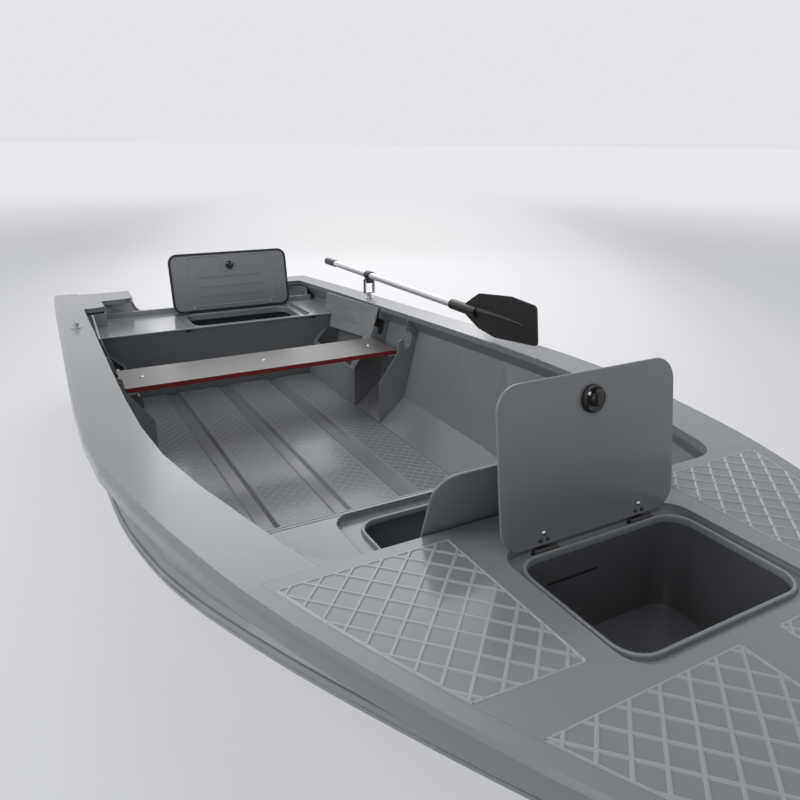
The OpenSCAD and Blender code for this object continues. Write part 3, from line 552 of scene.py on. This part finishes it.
# %% Screws
def screw_tree(head):
    tree = bpy.data.node_groups.new("screws", "GeometryNodeTree")
    io = tree.interface
    io.new_socket("Points", in_out="INPUT", socket_type="NodeSocketGeometry")
    io.new_socket("Size", in_out="INPUT", socket_type="NodeSocketFloat")
    io.new_socket("Turn", in_out="INPUT", socket_type="NodeSocketVector")
    io.new_socket("Finish", in_out="INPUT", socket_type="NodeSocketMaterial")
    io.new_socket("Screws", in_out="OUTPUT", socket_type="NodeSocketGeometry")
    new, link = tree.nodes.new, tree.links.new
    start, end = new("NodeGroupInput"), new("NodeGroupOutput")
    info = new("GeometryNodeObjectInfo")
    info.inputs["Object"].default_value = head
    put = new("GeometryNodeInstanceOnPoints")
    link(start.outputs["Points"], put.inputs["Points"])
    link(info.outputs["Geometry"], put.inputs["Instance"])
    link(start.outputs["Turn"], put.inputs["Rotation"])
    link(start.outputs["Size"], put.inputs["Scale"])
    real, paint = new("GeometryNodeRealizeInstances"), new("GeometryNodeSetMaterial")
    link(put.outputs[0], real.inputs[0])
    link(real.outputs[0], paint.inputs["Geometry"])
    link(start.outputs["Finish"], paint.inputs["Material"])
    link(paint.outputs[0], end.inputs[0])
    return tree


def head_object():
    pts, faces = lathe([(0, 0.55), (0.12, 0.4), (0.5, 0.5), (0.85, 0.3), (1, 0), (1, -0.4)], 14)
    mesh = bpy.data.meshes.new("screw_head")
    mesh.from_pydata(pts, [], faces)
    return bpy.data.objects.new("screw_head", mesh)


screw_nodes = screw_tree(head_object())


def screws(name, points, frame, radius, turn, finish, body):
    mesh = bpy.data.meshes.new(name + "_points")
    mesh.from_pydata([frame @ Vector(p) for p in points], [], [])
    obj = bpy.data.objects.new(name + "_points", mesh)
    bpy.context.scene.collection.objects.link(obj)
    mod = obj.modifiers.new("screws", "NODES")
    mod.node_group = screw_nodes
    names = {s.name: s.identifier for s in screw_nodes.interface.items_tree if s.in_out == "INPUT"}
    mod[names["Size"]] = radius / 1000
    mod[names["Turn"]] = turn
    mod[names["Finish"]] = finish
    graph = bpy.context.evaluated_depsgraph_get()
    made = bpy.data.meshes.new_from_object(obj.evaluated_get(graph))
    obj.modifiers.clear()
    bpy.data.objects.remove(obj)
    made.name = name
    out = bpy.data.objects.new(name, made)
    bpy.context.scene.collection.objects.link(out)
    for f in made.polygons:
        f.use_smooth = True
    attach(out, body)
    print(name, len(points), "screws")


def hinge_screws(ys, upper):
    places = ((17, 0),) if upper else ((5, -8), (5, 8))
    return [(12 + du, y + dy, -3.2) for y in ys for du, dy in places]


FACE_TURN = (0, math.radians(81), 0)
for lid, body, ys, r in ((BOW_LID, "bow_lid", (-112, 112), 4.6), (STERN_LID, "stern_lid", (-200, 200), 4.2)):
    screws(body + "_screws", hinge_screws(ys, True), lid, r, FACE_TURN, steel, body)
    screws(body + "_rivets", hinge_screws(ys, False), lid, r * 0.9, FACE_TURN, black_plastic, body)
screws("bow_latch_screws", [(258, y, -12.5) for y in (-13.5, 13.5)],
       BOW_LID, 4.6, FACE_TURN, steel, "bow_lid")
screws("stern_latch_screws", [(241, y, -12.3) for y in (-11, 11)],
       STERN_LID, 3.6, FACE_TURN, steel, "stern_lid")
screws("thwart_caps", [(1188, y, 423.2) for y in (-474, 0, 474)], DRAWING, 7.5, (0, 0, 0), steel, "boat")

# %% [markdown]
# A double rubbing rail follows the hull side below the gunwale.

# %% Rubbing rails
RAIL_START, RAIL_END, RAIL_STEPS, RAIL_OUT, RAIL_R = 4, 3828, 80, 12.0, 4.5
rails = Shape()
for side in (-1, 1):
    for dz in (13, -3):
        path = []
        for k in range(RAIL_STEPS + 1):
            x = RAIL_START + (RAIL_END - RAIL_START) * k / RAIL_STEPS
            path.append((x, side * (curve(BEAM, x) - curve(RAIL, x, 2) + RAIL_OUT), curve(RAIL, x) + dz))
        rails.take(*tube(path, RAIL_R, 8))
rails.piece("rubbing_rails", hull_sheet, "boat", "hull_grey")

# %% [markdown]
# The oar's blade has a central rib that runs out of the socket, on both of its faces.

# %% The blade's rib
OAR = Matrix.Translation(at(843, 652, 661.9)) @ Matrix.Rotation(math.radians(-0.4), 4, "Y") @ Matrix.Scale(0.001, 4)
STATIONS = [(760, 0, 18), (850, 4, 15), (950, 9, 11), (1080, 12, 7), (1180, 10, 4)]
rib = Shape()
for s in (-1, 1):
    pts = []
    for x, z, h in STATIONS:
        pts += [(x, s * 2.9, z + h), (x, s * (3 + h * 0.45), z + h * 0.5), (x, s * (3 + h * 0.55), z),
                (x, s * (3 + h * 0.45), z - h * 0.5), (x, s * 2.9, z - h)]
    rib.take(pts, grid_faces(5, 5) + [(0, 1, 2, 3, 4), (20, 21, 22, 23, 24)], OAR)
rib.piece("blade_rib", black_plastic, "oar", "black_plastic")

# %% [markdown]
# Small trim: a drain in the centre channel, beads along the edges of the bow seat and the stern deck in the lighter
# ridge grey, a painted highlight, and a black plate on the aft wall of the bow locker, which paints the shade inside a
# slot.

# %% Drain, edge beads and slot
Shape().take(*lathe([(0, 0.5), (9, 0.6), (10, 2.2), (15, 2.4), (17, 0)], 28, (530, 0, 93))).piece(
    "floor_drain", black_plastic, "boat", "black_plastic")
edge = Shape()
for x in (2563, 2573):
    edge.take(*bar((x, -470), (x, 470), 2.0, 1.6, 477.8))
edge.take(*bar((617, -545), (617, 545), 2.2, 1.4, 442.8))
edge.piece("seat_edge", highlit_ridge_sheet, "boat", "deck_grey", smooth=False)
# The slot is a thin black plate on the wall: painted shade in place of a groove's dark inside.
AFT_WALL = DRAWING @ Matrix(((0, 0, 1, 3068), (1, 0, 0, 0), (0, 1, 0, 0), (0, 0, 0, 1)))
Shape().take(*plate(round_box(-113, 2, 542, 548, 2.8, 4), -0.5, 0.8, 0.5), AFT_WALL).piece(
    "bin_slot", black_plastic, "boat", "black_plastic")

# %% [markdown]
# A pale studio: large soft lamps, and a wide floor with a painted pool of light that fades into one pale tone far away.
# The painted glow is emission that shows to the eye and in reflections only. The lamps and a weaker air light the boat.

# %% The studio
AIR = (0.770, 0.765, 0.795)
FAR = (0.94, 0.933, 0.975)
GLOW = [(0.0, (1.0, 0.99, 1.0)), (0.12, (0.966, 0.958, 0.985)), (0.36, (0.805, 0.803, 0.835)),
        (0.52, (0.644, 0.650, 0.688)), (0.68, (0.553, 0.568, 0.605)), (0.88, (0.525, 0.542, 0.580))]


def seen_ray(tree):
    """One for rays from the eye, also by way of a mirror or through glass."""
    node = tree.nodes.new("ShaderNodeLightPath")
    rays = [Sock(tree, node.outputs[k]) for k in ("Is Camera Ray", "Is Glossy Ray", "Is Transmission Ray")]
    return rays[0].math("MAXIMUM", rays[0], rays[0].math("MAXIMUM", rays[1], rays[2]))


HALF_FLOOR = 300
AWAY, ASIDE = 0.905, 0.424
POOL_START, POOL_LENGTH, POOL_SHIFT, POOL_WIDTH, POOL_FALL = 11, 10, 0.4, 3, 0.4
FADE_FROM, FADE_TO = 5, 19


def stage_floor():
    h = HALF_FLOOR
    mesh = bpy.data.meshes.new("studio_floor")
    mesh.from_pydata([(-h, -h, 0), (h, -h, 0), (h, h, 0), (-h, h, 0)], [], [(0, 1, 2, 3)])
    obj = bpy.data.objects.new("studio_floor", mesh)
    bpy.context.scene.collection.objects.link(obj)
    mat, tree, bsdf = finish_of("floor_paint")
    bsdf.inputs["Base Color"].default_value = (0.80, 0.81, 0.83, 1)
    bsdf.inputs["Roughness"].default_value = 0.6
    p = place(tree)
    x, y = [add(tree, "ShaderNodeSeparateXYZ", None, {"Vector": p}, i) for i in range(2)]
    across = (x * ASIDE + y * AWAY - POOL_SHIFT) / POOL_WIDTH
    along = x.math("MAXIMUM", (x * AWAY - y * ASIDE + POOL_START) / POOL_LENGTH, 0.0)
    pool = (along * along + across * across) * POOL_FALL
    glow = add(tree, "ShaderNodeValToRGB", {"ramp": GLOW}, {"Fac": pool})
    far = add(tree, "ShaderNodeMapRange", {"interpolation_type": "SMOOTHSTEP"},
              {"Value": (x * x + y * y) ** 0.5, "From Min": FADE_FROM, "From Max": FADE_TO})
    tone = mix(tree, far, glow, FAR)
    shine = add(tree, "ShaderNodeEmission", None, {"Color": tone, "Strength": 1.15})
    paint = Sock(tree, bsdf.outputs[0])
    kept = add(tree, "ShaderNodeMixShader", None, {0: 0.62, 1: paint, 2: shine})
    look = add(tree, "ShaderNodeMixShader", None, {0: seen_ray(tree), 1: paint, 2: kept})
    tree.links.new(look.socket, next(n for n in tree.nodes if n.type == "OUTPUT_MATERIAL").inputs[0])
    mesh.materials.append(mat)


stage_floor()


def lamp(name, where, target, size, power, size_y=None):
    data = bpy.data.lights.new(name, "AREA")
    data.energy, data.size, data.shape = power, size, "RECTANGLE"
    data.size_y = size_y or size
    obj = bpy.data.objects.new(name, data)
    obj.location = where
    obj.rotation_euler = (Vector(target) - Vector(where)).to_track_quat("-Z", "Y").to_euler()
    bpy.context.scene.collection.objects.link(obj)


lamp("lamp_over", (-0.5, 0.3, 4.5), (-0.5, 0, 0), 5, 50, 3)
lamp("lamp_stern", (-5.0, 2.0, 3.4), (0, 0, 0.4), 4, 84)
lamp("lamp_bow", (4.5, -3.5, 3.5), (0.6, 0, 0.4), 3, 24)
lamp("lamp_side", (-0.4, -3.6, 2.6), (-1.3, 0.5, 0.3), 2.2, 60)

world = bpy.data.worlds.new("studio_air")
bpy.context.scene.world = world
world.use_nodes = True
wt = world.node_tree
wt.nodes.clear()
wout = wt.nodes.new("ShaderNodeOutputWorld")
air = add(wt, "ShaderNodeBackground", None, {"Color": (0.80, 0.81, 0.84, 1), "Strength": 0.42})
shown = add(wt, "ShaderNodeBackground", None, {"Color": (*AIR, 1), "Strength": 1.0})
both = add(wt, "ShaderNodeMixShader", None, {0: seen_ray(wt), 1: air, 2: shown})
wt.links.new(both.socket, wout.inputs[0])
bpy.context.scene.view_settings.view_transform = "Standard"

import json
